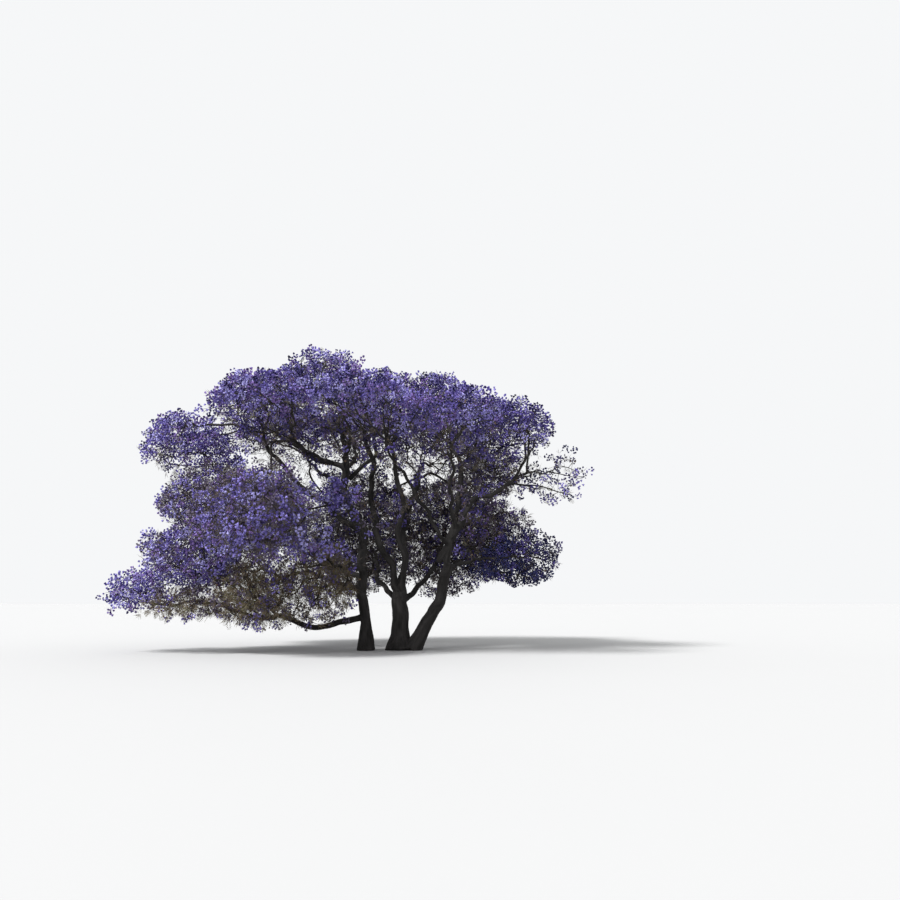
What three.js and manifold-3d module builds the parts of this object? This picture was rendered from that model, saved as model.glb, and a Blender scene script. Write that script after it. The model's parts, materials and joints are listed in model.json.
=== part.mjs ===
// A spreading, several-stemmed jacaranda in flower: three stems from one root, crooked boughs and
// the masses of blossom that they carry. Millimetres, +Z up, origin at the foot of the main trunk.
// Needs the npm packages three and manifold-3d.
import * as THREE from "three";
import Module from "manifold-3d";
import { mergeVertices } from "three/addons/utils/BufferGeometryUtils.js";

// ---- driving dimensions ------------------------------------------------------------------------
const CLEARANCE = 0.4; // between a limb and the limb it grows from
const MASS_GAP = 20; // between two neighbouring masses
const STEM_SIDES = 12;
const BOUGH_SIDES = 7;
const STATION_SPACING = 900; // along a limb, between rings
const FEWEST_STATIONS = 4;
const MOST_STATIONS = 7;
const MERGE_WITHIN = 1e-3; // corners closer than this are one

const COLLAR_SWELL = 0.35; // how much a bough thickens where it leaves its parent
const COLLAR_REACH = 0.9; // and over how many of its own diameters
const BOUGH_CROOK = 0.03; // how far a bough strays sideways, as a share of its length
const STEM_CROOK = 0.012;
const BENDS = [0, 1, 2]; // the waves that make up a limb's crook
const BEND_TURNS = [1, 2.6]; // fewest and most turns of a wave over a limb's length
const FOOT_SHARE = 0.25; // over this share of its length, a limb has less crook and a stem straightens up
const TRIM_STEP = 0.03; // a bough is shortened by this share until it clears the masses

const FLARE_HEIGHT = 380; // height over which the root flare fades
const FLARE_LOBES = 3;
const LOBE_DEPTH = 0.22;
const TRUNK_FLARE = 0.85; // extra radius at the ground, as a share
const STEM_FLARE = 0.8;

const MASS_DETAIL = 2; // subdivision of the ball that a mass starts from
const SMALL_MASS = 1750; // a mass whose half-sizes are all below this starts from a plainer ball
const LUMPS = [0, 1, 2, 3]; // the waves that make a mass uneven
const LUMP_PITCH = [3, 6]; // least and greatest steepness of such a wave
const LUMP_DEPTH = 0.05; // of each, as a share of the mass's size
const UNDERSIDE = 0.72; // a mass is flatter below than above
const CUTTER = 60000; // side of the block that parts two masses

const STEM_SEED = 11; // first seed of the stems, the boughs and the masses
const BOUGH_SEED = 31;
const MASS_SEED = 101;

const BARK = new THREE.MeshStandardMaterial({ color: 0x3a342f, roughness: 0.95, metalness: 0 });
const BLOSSOM = new THREE.MeshStandardMaterial({ color: 0x7468a8, roughness: 0.85, metalness: 0 });
const THIN_BLOSSOM = new THREE.MeshStandardMaterial({ color: 0x6d6480, roughness: 0.9, metalness: 0 });

// ---- limbs -------------------------------------------------------------------------------------
// A stem stands on the ground at foot; a bough leaves its parent at a share of the parent's length.
// Each runs to tip, and bow says how far its middle stands off the straight line. A tip lies inside
// the mass that the bough feeds, and the bough is trimmed to where it enters.
const STEMS = [
  { name: "trunk", foot: [0, 0, 0], tip: [20, 0, 2250], bow: [-30, 0, 0], wide: [700, 650],
    flare: TRUNK_FLARE, lobeTurn: Math.PI },
  { name: "stem_left", foot: [-1370, -300, 0], tip: [-2390, -400, 7800], bow: [330, 0, 0],
    wide: [450, 310], flare: STEM_FLARE, lobeTurn: 0 },
  { name: "stem_right", foot: [520, -100, 0], tip: [2060, -200, 3560], bow: [110, 0, -60],
    wide: [560, 440], flare: STEM_FLARE / 2, lobeTurn: 0 },
];

const BOUGHS = [
  // from the main trunk's fork
  { name: "bough_centre_left", from: "trunk", at: 0.93, tip: [-1500, 1000, 9600], bow: [-330, -200, 0],
    wide: [330, 180] },
  { name: "bough_centre", from: "trunk", at: 0.95, tip: [-500, 500, 9700], bow: [220, 60, 0],
    wide: [300, 160] },
  { name: "bough_centre_right", from: "trunk", at: 0.94, tip: [1100, 4600, 9100], bow: [-280, -800, 0],
    wide: [310, 160] },
  { name: "bough_back_right", from: "trunk", at: 0.88, tip: [2300, 5200, 5500], bow: [280, -500, -250],
    wide: [260, 140] },
  { name: "bough_back_low", from: "trunk", at: 0.84, tip: [-2200, 6000, 5700], bow: [-300, -300, -300],
    wide: [260, 140] },
  // from the knot at the head of the left stem
  { name: "bough_high_left", from: "stem_left", at: 0.97, tip: [-6300, -900, 9600], bow: [0, -150, -140],
    wide: [250, 140] },
  { name: "bough_high_top", from: "stem_left", at: 0.97, tip: [-3100, 100, 10400], bow: [100, 100, 0],
    wide: [230, 140] },
  { name: "bough_high_right", from: "stem_left", at: 0.95, tip: [-1300, 200, 9700],
    bow: [520, 100, -340], wide: [200, 130] },
  { name: "bough_high_front", from: "stem_left", at: 0.95, tip: [-1700, -4600, 8800], bow: [0, 0, 100],
    wide: [220, 130] },
  { name: "bough_high_back", from: "stem_left", at: 0.94, tip: [-2500, 5000, 9800], bow: [0, 0, 100],
    wide: [220, 130] },
  // from the sides of the left stem
  { name: "bough_left_high", from: "stem_left", at: 0.6, tip: [-6700, -1000, 9200],
    bow: [-230, -260, 120], wide: [270, 150] },
  { name: "bough_left_reach", from: "bough_left_high", at: 0.5, tip: [-8700, -200, 8000],
    bow: [0, 0, -150], wide: [180, 120] },
  { name: "bough_left_mid", from: "stem_left", at: 0.31, tip: [-7600, -1400, 5000], bow: [0, -100, -420],
    wide: [250, 130] },
  { name: "bough_left_low", from: "stem_left", at: 0.17, tip: [-8200, -1400, 3300], bow: [0, 500, -1000],
    wide: [280, 130] },
  { name: "bough_front_left", from: "stem_left", at: 0.42, tip: [-4900, -4600, 4500],
    bow: [100, -200, -350], wide: [220, 130] },
  { name: "bough_front", from: "stem_left", at: 0.56, tip: [-2300, -3500, 5700], bow: [100, 0, -150],
    wide: [140, 80] },
  { name: "bough_back_left", from: "stem_left", at: 0.38, tip: [-6300, 3900, 5400],
    bow: [200, 200, -400], wide: [250, 130] },
  { name: "bough_high_back_left", from: "stem_left", at: 0.78, tip: [-5500, 4600, 9700],
    bow: [0, 0, -200], wide: [200, 130] },
  { name: "bough_high_front_left", from: "bough_high_left", at: 0.28, tip: [-4900, -4400, 8900],
    bow: [0, 0, -100], wide: [160, 110] },
  // from the right stem
  { name: "bough_right_arch", from: "stem_right", at: 0.97, tip: [4720, -500, 6890], bow: [-420, 0, 480],
    wide: [300, 180] },
  { name: "bough_right_reach", from: "bough_right_arch", at: 0.97, tip: [6700, -500, 6700],
    bow: [0, 0, -60], wide: [160, 100] },
  { name: "bough_right_up", from: "stem_right", at: 0.96, tip: [2540, 0, 7700], bow: [60, 0, 0],
    wide: [290, 220] },
  { name: "bough_right_top_left", from: "bough_right_up", at: 0.97, tip: [1500, 300, 9600],
    bow: [0, 0, 100], wide: [180, 130] },
  { name: "bough_right_top_right", from: "bough_right_up", at: 0.97, tip: [3900, 0, 8900],
    bow: [-150, 0, 150], wide: [180, 130] },
  { name: "bough_right_low", from: "stem_right", at: 0.93, tip: [4900, 900, 3700], bow: [0, 0, 400],
    wide: [200, 110] },
  { name: "bough_right_back", from: "stem_right", at: 0.9, tip: [4400, 1900, 5600], bow: [-150, 100, 0],
    wide: [200, 120] },
  { name: "bough_right_inner", from: "bough_right_up", at: 0.14, tip: [-600, -4200, 8500],
    bow: [-250, 300, 200], wide: [190, 110] },
  { name: "bough_right_front", from: "bough_right_up", at: 0.42, tip: [2100, -4200, 8100],
    bow: [0, -150, -350], wide: [190, 120] },
];

// ---- masses ------------------------------------------------------------------------------------
// Each mass is an uneven ball, flatter below: its middle and its half-sizes along X, Y and Z.
const MASSES = [
  // the dome of the crown, from left to right
  { name: "mass_shoulder_left", middle: [-8950, 0, 8250], half: [2150, 2800, 1600] },
  { name: "mass_top_left", middle: [-6050, -200, 9750], half: [2000, 3000, 1900] },
  { name: "mass_top", middle: [-3600, 0, 10550], half: [2500, 3100, 1850] },
  { name: "mass_top_middle", middle: [-900, 300, 10150], half: [2200, 3000, 1650] },
  { name: "mass_top_right", middle: [1500, 300, 9850], half: [2550, 3000, 1700] },
  { name: "mass_shoulder_right", middle: [4350, 0, 8700], half: [2050, 2800, 1750] },
  { name: "mass_far_right", middle: [6300, -300, 6950], half: [1500, 1900, 1450] },
  // the near side
  { name: "mass_front_top_left", middle: [-4650, -4700, 9000], half: [2400, 2500, 1450] },
  { name: "mass_front_top", middle: [-1500, -5000, 9000], half: [2500, 2500, 1400] },
  { name: "mass_front_top_right", middle: [2000, -4600, 8400], half: [2400, 2400, 1450] },
  { name: "mass_front_left", middle: [-5200, -4900, 4950], half: [2400, 2200, 2100] },
  { name: "mass_front_cluster", middle: [-2350, -3700, 5850], half: [1050, 1050, 700] },
  { name: "mass_front_spray", middle: [-3050, -3500, 4150], half: [900, 900, 650] },
  // the far side
  { name: "mass_back_top_left", middle: [-5900, 4900, 9800], half: [2700, 2600, 1500] },
  { name: "mass_back_top", middle: [-2400, 5500, 9750], half: [2500, 2600, 1750] },
  { name: "mass_back_top_right", middle: [1200, 5000, 9200], half: [2500, 2600, 1950] },
  { name: "mass_back_shoulder", middle: [3700, 3900, 7700], half: [1900, 2200, 1400] },
  { name: "mass_back_left", middle: [-6900, 4200, 5700], half: [2600, 2500, 2000] },
  { name: "mass_back_low", middle: [-2200, 5900, 5000], half: [2900, 2200, 3800] },
  { name: "mass_back_right", middle: [2100, 5300, 5000], half: [2900, 2200, 3700] },
  // the skirts
  { name: "mass_left_mid", middle: [-7500, -700, 5950], half: [2450, 2700, 1850] },
  { name: "mass_left_low", middle: [-8050, -1300, 3450], half: [2450, 2400, 1650] },
  { name: "mass_left_tip", middle: [-10400, -1300, 2350], half: [1450, 1700, 900] },
  { name: "mass_left_hem", middle: [-8300, -2000, 1850], half: [1700, 1500, 750] },
  { name: "mass_left_under", middle: [-5500, -2000, 2150], half: [2000, 2000, 1650] },
  { name: "mass_inner_low", middle: [-3250, -1800, 2600], half: [1500, 1350, 2200] },
  { name: "mass_right_low", middle: [4850, 1000, 3650], half: [2050, 2000, 1300] },
  { name: "mass_right_mid", middle: [3850, 2000, 4900], half: [1800, 1900, 1600] },
];
const THIN_MASSES = new Set([
  "mass_far_right", "mass_left_hem", "mass_left_under", "mass_inner_low", "mass_right_mid", "mass_back_low",
]);

const wasm = await Module();
wasm.setup();

/** A repeatable stream of numbers between 0 and 1. */
function randomStream(seed) {
  let state = seed >>> 0;
  return () => {
    state = (state + 0x6d2b79f5) >>> 0;
    let mixed = Math.imul(state ^ (state >>> 15), 1 | state);
    mixed = (mixed + Math.imul(mixed ^ (mixed >>> 7), 61 | mixed)) ^ mixed;
    return ((mixed ^ (mixed >>> 14)) >>> 0) / 4294967296;
  };
}

const vector = (xyz) => new THREE.Vector3(...xyz);
const UP = vector([0, 0, 1]);

// ---- solids ------------------------------------------------------------------------------------
function toSolid(geometry) {
  geometry.deleteAttribute("normal");
  geometry.deleteAttribute("uv");
  const merged = mergeVertices(geometry, MERGE_WITHIN);
  return new wasm.Manifold(new wasm.Mesh({
    numProp: 3,
    vertProperties: merged.attributes.position.array,
    triVerts: new Uint32Array(merged.index.array),
  }));
}

function toMesh(name, solid, material) {
  const made = solid.getMesh();
  const geometry = new THREE.BufferGeometry();
  geometry.setAttribute("position", new THREE.BufferAttribute(made.vertProperties, made.numProp));
  geometry.setIndex(new THREE.BufferAttribute(made.triVerts, 1));
  geometry.computeVertexNormals();
  const mesh = new THREE.Mesh(geometry, material);
  mesh.name = name;
  return mesh;
}

/** The part of a solid that has the most volume, without the slivers that a cut can leave. */
function largestPart(solid) {
  const parts = solid.decompose();
  return parts.reduce((best, part) => (part.volume() > best.volume() ? part : best));
}

const overlap = (a, b) => a.intersect(b).volume() > 0;

// ---- limb shapes -------------------------------------------------------------------------------
/** The crooked line that a limb follows: bowed at its middle, and with a few bends of its own. */
class LimbLine extends THREE.Curve {
  constructor(start, tip, bow, crook, seed) {
    super();
    this.start = start;
    this.tip = tip;
    this.bow = bow;
    const random = randomStream(seed);
    const swing = start.distanceTo(tip) * crook;
    this.bends = BENDS.map(() => ({
      sway: new THREE.Vector3(random() - 0.5, random() - 0.5, random() - 0.5).multiplyScalar(2 * swing),
      turns: THREE.MathUtils.lerp(...BEND_TURNS, random()),
      phase: 2 * Math.PI * random(),
    }));
  }

  getPoint(share, target = new THREE.Vector3()) {
    const middle = 4 * share * (1 - share);
    target.lerpVectors(this.start, this.tip, share).addScaledVector(this.bow, middle);
    const held = Math.min(1, share / FOOT_SHARE); // no sway at the foot
    for (const { sway, turns, phase } of this.bends) {
      const wave = Math.sin(2 * Math.PI * turns * share + phase) - Math.sin(phase);
      target.addScaledVector(sway, held * wave * 0.5);
    }
    return target;
  }
}

/** The radius of a limb at a share of its length, in the direction of an angle round it. */
function limbRadius(limb, share, angle) {
  const [foot, end] = limb.wide;
  const plain = THREE.MathUtils.lerp(foot, end, share) / 2;
  const along = share * limb.length;
  if (limb.flare) {
    const fade = Math.exp(-along / FLARE_HEIGHT);
    const lobes = 1 + LOBE_DEPTH * Math.cos(FLARE_LOBES * (angle - limb.lobeTurn));
    return plain * (1 + limb.flare * fade * lobes);
  }
  return plain * (1 + COLLAR_SWELL * Math.exp(-along / (COLLAR_REACH * foot)));
}

/** The world axis that lies most nearly square to a direction. */
function squareAxis(direction) {
  const axes = [new THREE.Vector3(1, 0, 0), new THREE.Vector3(0, 1, 0), new THREE.Vector3(0, 0, 1)];
  return axes.reduce((best, axis) =>
    Math.abs(axis.dot(direction)) < Math.abs(best.dot(direction)) ? axis : best);
}

/** One tapering limb as a solid, up to a share of its line. grow thickens it, to cut others with. */
function limbSolid(limb, until, grow = 0) {
  const sides = limb.flare ? STEM_SIDES : BOUGH_SIDES;
  const stations = THREE.MathUtils.clamp(
    Math.round((limb.length * until) / STATION_SPACING), FEWEST_STATIONS, MOST_STATIONS);
  const geometry = new THREE.CylinderGeometry(1, 1, 1, sides, stations);
  const square = squareAxis(limb.tip.clone().sub(limb.start).normalize());
  const place = geometry.attributes.position;
  const [point, side, across, ring] = [0, 1, 2, 3].map(() => new THREE.Vector3());
  for (let i = 0; i < place.count; i++) {
    ring.fromBufferAttribute(place, i);
    const share = (ring.y + 0.5) * until;
    limb.line.getPoint(share, point);
    const tangent = limb.line.getTangent(Math.max(share, 1e-3));
    if (limb.flare) tangent.lerp(UP, Math.max(0, 1 - share / FOOT_SHARE)).normalize();
    side.copy(square).addScaledVector(tangent, -square.dot(tangent)).normalize();
    across.crossVectors(side, tangent);
    const radial = Math.hypot(ring.x, ring.z);
    const radius = radial * (limbRadius(limb, share, Math.atan2(-ring.z, ring.x)) + grow);
    const angle = Math.atan2(ring.z, ring.x);
    point.addScaledVector(side, radius * Math.cos(angle)).addScaledVector(across, radius * Math.sin(angle));
    const onCap = Math.abs(ring.y) > 0.499;
    if (onCap) point.addScaledVector(tangent, grow * Math.sign(ring.y));
    place.setXYZ(i, point.x, point.y, point.z);
  }
  return toSolid(geometry);
}

// ---- mass shapes -------------------------------------------------------------------------------
/** A mass before its neighbours are cut from it: a lumpy ball with a flatter underside. */
function massSolid({ middle, half }, seed) {
  const detail = Math.max(...half) < SMALL_MASS ? MASS_DETAIL - 1 : MASS_DETAIL;
  const geometry = new THREE.IcosahedronGeometry(1, detail);
  const random = randomStream(seed);
  const lumps = LUMPS.map(() => ({
    way: new THREE.Vector3(random() - 0.5, random() - 0.5, random() - 0.5).normalize(),
    phase: 2 * Math.PI * random(),
    pitch: THREE.MathUtils.lerp(...LUMP_PITCH, random()),
  }));
  const place = geometry.attributes.position;
  const point = new THREE.Vector3();
  for (let i = 0; i < place.count; i++) {
    point.fromBufferAttribute(place, i);
    const lump = lumps.reduce((sum, l) => sum + Math.sin(l.pitch * point.dot(l.way) + l.phase), 0);
    const swell = 1 + LUMP_DEPTH * lump;
    const height = point.z < 0 ? point.z * UNDERSIDE : point.z;
    place.setXYZ(i,
      middle[0] + half[0] * point.x * swell,
      middle[1] + half[1] * point.y * swell,
      middle[2] + half[2] * height * swell);
  }
  return toSolid(geometry);
}

/** How far a mass reaches from its middle in a direction. */
function reach({ half }, way) {
  return 1 / Math.hypot(way.x / half[0], way.y / half[1], way.z / half[2]);
}

/** Everything beyond a plane, as one large block. */
function beyond(point, way) {
  const block = new THREE.BoxGeometry(CUTTER, CUTTER, CUTTER);
  block.translate(0, 0, CUTTER / 2);
  block.applyQuaternion(new THREE.Quaternion().setFromUnitVectors(UP, way));
  block.translate(point.x, point.y, point.z);
  return toSolid(block);
}

/** Parts two masses that run into each other by a plane between them, with a narrow gap. */
function partMasses(a, b) {
  if (!overlap(a.solid, b.solid)) return;
  const [from, to] = [vector(a.middle), vector(b.middle)];
  const way = to.clone().sub(from).normalize();
  const [reachA, reachB] = [reach(a, way), reach(b, way)];
  const between = from.clone().lerp(to, reachA / (reachA + reachB));
  const near = between.clone().addScaledVector(way, -MASS_GAP / 2);
  const far = between.clone().addScaledVector(way, MASS_GAP / 2);
  a.solid = largestPart(a.solid.subtract(beyond(near, way)));
  b.solid = largestPart(b.solid.subtract(beyond(far, way.clone().negate())));
}

// ---- assembly ----------------------------------------------------------------------------------
const masses = MASSES.map((mass, i) => ({ ...mass, solid: massSolid(mass, MASS_SEED + i) }));
masses.forEach((mass, i) => masses.slice(i + 1).forEach((other) => partMasses(mass, other)));

/** Gives a limb its line and its length. */
function prepare(limb, start, seed) {
  const tip = vector(limb.tip);
  const line = new LimbLine(start, tip, vector(limb.bow), limb.flare ? STEM_CROOK : BOUGH_CROOK, seed);
  return { ...limb, start, tip, line, length: line.getLength() };
}

/** The longest share of a limb that stays clear of every mass. */
function clearShare(limb) {
  let until = 1;
  while (until > TRIM_STEP && masses.some(({ solid }) => overlap(limbSolid(limb, until, MASS_GAP), solid)))
    until -= TRIM_STEP;
  return until;
}

const limbs = new Map();

/** Makes a limb's solid, trimmed where it enters a mass and cut where it meets the limbs before it. */
function addLimb(limb) {
  limb.until = clearShare(limb);
  limb.solid = limbSolid(limb, limb.until);
  for (const earlier of limbs.values())
    if (overlap(limb.solid, earlier.cutter)) limb.solid = largestPart(limb.solid.subtract(earlier.cutter));
  limb.cutter = limbSolid(limb, limb.until, CLEARANCE);
  limbs.set(limb.name, limb);
}

STEMS.forEach((stem, i) => addLimb(prepare(stem, vector(stem.foot), STEM_SEED + i)));
BOUGHS.forEach((bough, i) => {
  const parent = limbs.get(bough.from);
  addLimb(prepare(bough, parent.line.getPoint(bough.at * parent.until), BOUGH_SEED + i));
});

const tree = new THREE.Group();
for (const { name, solid } of limbs.values()) tree.add(toMesh(name, solid, BARK));
for (const { name, solid } of masses)
  tree.add(toMesh(name, solid, THIN_MASSES.has(name) ? THIN_BLOSSOM : BLOSSOM));

export default tree;
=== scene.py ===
"""A spreading, several-stemmed jacaranda in flower: bark, branchlets, twigs, blossom, pods and leaves.

The solids of the frame give the stems and boughs and the masses of the crown. Here each stem and bough
gets a bark of its own, and each mass is filled by limbs that grow on from the boughs by a seeded rule
and carry the blossom. All sizes are in metres.
"""

import json
import logging
import math
from dataclasses import dataclass, field
from enum import Enum

import bmesh
import bpy
import numpy as np
from mathutils import Matrix, Vector, noise
from mathutils.bvhtree import BVHTree
from mathutils.kdtree import KDTree

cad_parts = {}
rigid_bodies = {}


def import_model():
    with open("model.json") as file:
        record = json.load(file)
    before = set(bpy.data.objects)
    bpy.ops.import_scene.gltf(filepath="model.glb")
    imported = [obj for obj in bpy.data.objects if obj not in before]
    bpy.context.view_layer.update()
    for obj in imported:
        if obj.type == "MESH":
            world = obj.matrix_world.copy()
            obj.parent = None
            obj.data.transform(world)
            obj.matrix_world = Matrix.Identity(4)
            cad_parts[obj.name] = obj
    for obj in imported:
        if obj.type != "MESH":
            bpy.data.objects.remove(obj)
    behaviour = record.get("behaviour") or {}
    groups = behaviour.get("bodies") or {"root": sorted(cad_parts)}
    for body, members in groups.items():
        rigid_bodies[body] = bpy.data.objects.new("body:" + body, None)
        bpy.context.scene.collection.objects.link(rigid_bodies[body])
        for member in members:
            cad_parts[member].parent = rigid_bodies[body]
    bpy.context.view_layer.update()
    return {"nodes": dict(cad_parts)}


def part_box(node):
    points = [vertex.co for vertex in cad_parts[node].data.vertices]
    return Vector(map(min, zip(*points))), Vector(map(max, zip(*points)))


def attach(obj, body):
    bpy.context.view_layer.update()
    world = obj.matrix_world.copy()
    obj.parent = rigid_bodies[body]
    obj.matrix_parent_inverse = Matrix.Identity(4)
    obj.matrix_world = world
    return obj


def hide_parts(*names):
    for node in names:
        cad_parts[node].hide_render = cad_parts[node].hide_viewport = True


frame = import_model()

LOG = logging.getLogger("jacaranda")
BODY = "root"
UP = np.array([0.0, 0.0, 1.0])
MASSES = sorted(name for name in frame["nodes"] if name.startswith("mass_"))
NOISE_SEED = 2
LOWEST_TWIG = 0.55  # no twig is led lower than this
SPIRAL_TURN = 2.4  # between neighbours round a stalk, in radians
SLOW_WARP = (0.75, 0.26)  # waves per metre and reach of the two shifts that make the limbs crooked
QUICK_WARP = (2.0, 0.1)


# ---- kinds ---------------------------------------------------------------------------------------
class Slot(Enum):
    """The record's material slots."""

    BARK = "bark"
    BLOSSOM = "blossom"
    THIN_BLOSSOM = "thin_blossom"


class Tint(Enum):
    """The tints in which the blossom is dealt out, spray by spray; the pale one is painted sunlight, the deep
    and indigo ones painted shade.
    """

    PAINTED_SUNLIT_PALE = "pale"
    LILAC = "lilac"
    MAUVE = "mauve"
    VIOLET = "violet"
    PAINTED_SHADE_DEEP = "deep"
    PAINTED_SHADE_INDIGO = "indigo"
    DUSKY = "dusky"


@dataclass(frozen=True)
class Habit:
    """How a mass of the crown is clothed.

    Attributes:
        bloom: share of the twig ends that carry blossom.
        fullness: share of the places for twigs that are taken.
        tints: weight of each tint among the sprays, from light to dark; a lean to the pale tints paints
            sunlight on the mass, and a lean to the deep and indigo tints paints shade.
        bare: share of the mass's height, from below, that is nearly bare of blossom.
        deep: share of the places deep inside the mass that are taken.
        fine: how many tufts of fine twiglets each twig carries.
        pods: share of the twigs that carry old pods.
        leaves: share of the twigs that carry a few leaves.
    """

    bloom: float
    fullness: float
    tints: dict[Tint, float]
    bare: float = 0.0
    deep: float = 0.5
    fine: float = 0.25
    pods: float = 0.03
    leaves: float = 0.02


# The tint weights paint light and shade: the sunlit upper and front masses lean to the pale tints, and the
# right-hand, lower, back and inner masses lean to the deep and indigo tints as painted shade. Most habits
# also mix in the deep tint as painted shade between the sprays.
BRIGHT = Habit(
    bloom=0.97, fullness=1.0, bare=0.44,
    tints={Tint.PAINTED_SUNLIT_PALE: 2.6, Tint.LILAC: 3.2, Tint.MAUVE: 2.4, Tint.VIOLET: 2, Tint.PAINTED_SHADE_DEEP: 2.6},
)
SUNNY = Habit(
    bloom=0.92, fullness=0.85, bare=0.24,
    tints={Tint.PAINTED_SUNLIT_PALE: 2.4, Tint.LILAC: 3, Tint.MAUVE: 2, Tint.VIOLET: 2, Tint.PAINTED_SHADE_DEEP: 1.6},
)
RICH = Habit(
    bloom=0.93, fullness=1.0, bare=0.44,
    tints={Tint.PAINTED_SUNLIT_PALE: 1.6, Tint.LILAC: 2.4, Tint.MAUVE: 2.2, Tint.VIOLET: 2.8, Tint.PAINTED_SHADE_DEEP: 3.6},
)
SHOULDER = Habit(
    bloom=0.93, fullness=1.0, bare=0.24, deep=0.6,
    tints={Tint.PAINTED_SUNLIT_PALE: 1, Tint.LILAC: 2, Tint.VIOLET: 3.2, Tint.PAINTED_SHADE_DEEP: 3.6},
)
SKIRT = Habit(
    bloom=0.9, fullness=1.0, deep=0.8, fine=0.7,
    tints={Tint.PAINTED_SUNLIT_PALE: 2, Tint.LILAC: 3, Tint.MAUVE: 1.5, Tint.VIOLET: 2.4, Tint.DUSKY: 1.5},
)
TUFT = Habit(
    bloom=0.97, fullness=1.0, deep=0.9,
    tints={Tint.PAINTED_SUNLIT_PALE: 3, Tint.LILAC: 3.4, Tint.MAUVE: 1.5, Tint.VIOLET: 2, Tint.PAINTED_SHADE_DEEP: 1.2},
)
SHADY = Habit(
    bloom=0.5, fullness=1.4, deep=0.9, fine=1.7, pods=0.08,
    tints={Tint.LILAC: 1, Tint.VIOLET: 2, Tint.PAINTED_SHADE_DEEP: 2.5, Tint.DUSKY: 6},
)
SOFT = Habit(
    bloom=0.72, fullness=1.0, deep=0.55, fine=1.2, pods=0.06, leaves=0.04,
    tints={Tint.PAINTED_SUNLIT_PALE: 1.2, Tint.LILAC: 2.6, Tint.MAUVE: 1.4, Tint.VIOLET: 1.4, Tint.DUSKY: 3.4},
)
SPARSE = Habit(
    bloom=0.45, fullness=0.36, fine=0.4, pods=0.05,
    tints={Tint.LILAC: 1.4, Tint.VIOLET: 3, Tint.PAINTED_SHADE_DEEP: 3, Tint.PAINTED_SHADE_INDIGO: 1.5},
)
THICKET = Habit(
    bloom=0.6, fullness=1.0, deep=0.9, fine=1.4, pods=0.1,
    tints={Tint.MAUVE: 1, Tint.VIOLET: 2, Tint.DUSKY: 4, Tint.PAINTED_SHADE_DEEP: 3},
)
BROWN = Habit(
    bloom=0.3, fullness=1.4, deep=1.0, fine=2.3, pods=0.12, leaves=0.3,
    tints={Tint.LILAC: 3, Tint.VIOLET: 1.5, Tint.DUSKY: 4},
)
# Painted shade: the shaded lower right mass is dealt almost only the darkest tints.
DARKEST_PAINTED_SHADE = Habit(
    bloom=0.98, fullness=1.0, deep=1.0, fine=0.5,
    tints={Tint.VIOLET: 1, Tint.PAINTED_SHADE_DEEP: 2.5, Tint.PAINTED_SHADE_INDIGO: 6},
)
HABITS = {
    "mass_top": BRIGHT,
    "mass_top_left": BRIGHT,
    "mass_top_middle": BRIGHT,
    "mass_front_top_left": BRIGHT,
    "mass_front_top": BRIGHT,
    "mass_front_cluster": TUFT,
    "mass_front_spray": TUFT,
    "mass_left_tip": TUFT,
    "mass_shoulder_left": SUNNY,
    "mass_shoulder_right": SHOULDER,
    "mass_left_low": SKIRT,
    "mass_front_left": SOFT,
    "mass_left_mid": SOFT,
    "mass_back_left": SOFT,
    "mass_far_right": SPARSE,
    "mass_right_mid": THICKET,
    "mass_left_hem": BROWN,
    "mass_left_under": BROWN,
    "mass_inner_low": BROWN,
    "mass_right_low": DARKEST_PAINTED_SHADE,
    "mass_back_low": SHADY,
    "mass_back_right": SHADY,
    "mass_back_shoulder": SHADY,
}
# Shoots outside the masses lie inside the crown; their deep tint is painted shade.
INNER = Habit(
    bloom=0.3, fullness=1.0, fine=0.5, pods=0.08,
    tints={Tint.LILAC: 1.5, Tint.VIOLET: 2, Tint.PAINTED_SHADE_DEEP: 2.5, Tint.DUSKY: 3},
)


# ---- finishes ------------------------------------------------------------------------------------
@dataclass(frozen=True)
class Mottle:
    """A node group that shades a colour up and down in soft patches.

    Attributes:
        name: the group's name.
    """

    name: str = "mottle"

    def group(self) -> bpy.types.NodeTree:
        """Gives the group, and makes it the first time.

        Returns:
            The node group, with Color, Scale, Depth and Vector in and Color and Value out.
        """
        if self.name in bpy.data.node_groups:
            return bpy.data.node_groups[self.name]
        tree = bpy.data.node_groups.new(self.name, "ShaderNodeTree")
        sockets = tree.interface
        sockets.new_socket("Color", in_out="INPUT", socket_type="NodeSocketColor")
        sockets.new_socket("Scale", in_out="INPUT", socket_type="NodeSocketFloat")
        sockets.new_socket("Depth", in_out="INPUT", socket_type="NodeSocketFloat")
        sockets.new_socket("Vector", in_out="INPUT", socket_type="NodeSocketVector")
        sockets.new_socket("Color", in_out="OUTPUT", socket_type="NodeSocketColor")
        sockets.new_socket("Value", in_out="OUTPUT", socket_type="NodeSocketFloat")
        nodes, links = tree.nodes, tree.links
        taken = nodes.new("NodeGroupInput")
        given = nodes.new("NodeGroupOutput")
        patches = nodes.new("ShaderNodeTexNoise")
        patches.inputs["Detail"].default_value = 4.0
        spread = nodes.new("ShaderNodeMath")
        spread.operation = "SUBTRACT"
        spread.inputs[1].default_value = 0.5
        factor = nodes.new("ShaderNodeMath")
        factor.operation = "MULTIPLY_ADD"
        factor.inputs[2].default_value = 1.0
        tinted = nodes.new("ShaderNodeVectorMath")
        tinted.operation = "SCALE"
        links.new(taken.outputs["Vector"], patches.inputs["Vector"])
        links.new(taken.outputs["Scale"], patches.inputs["Scale"])
        links.new(patches.outputs["Fac"], spread.inputs[0])
        links.new(spread.outputs[0], factor.inputs[0])
        links.new(taken.outputs["Depth"], factor.inputs[1])
        links.new(taken.outputs["Color"], tinted.inputs[0])
        links.new(factor.outputs[0], tinted.inputs["Scale"])
        links.new(tinted.outputs[0], given.inputs["Color"])
        links.new(patches.outputs["Fac"], given.inputs["Value"])
        return tree


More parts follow.
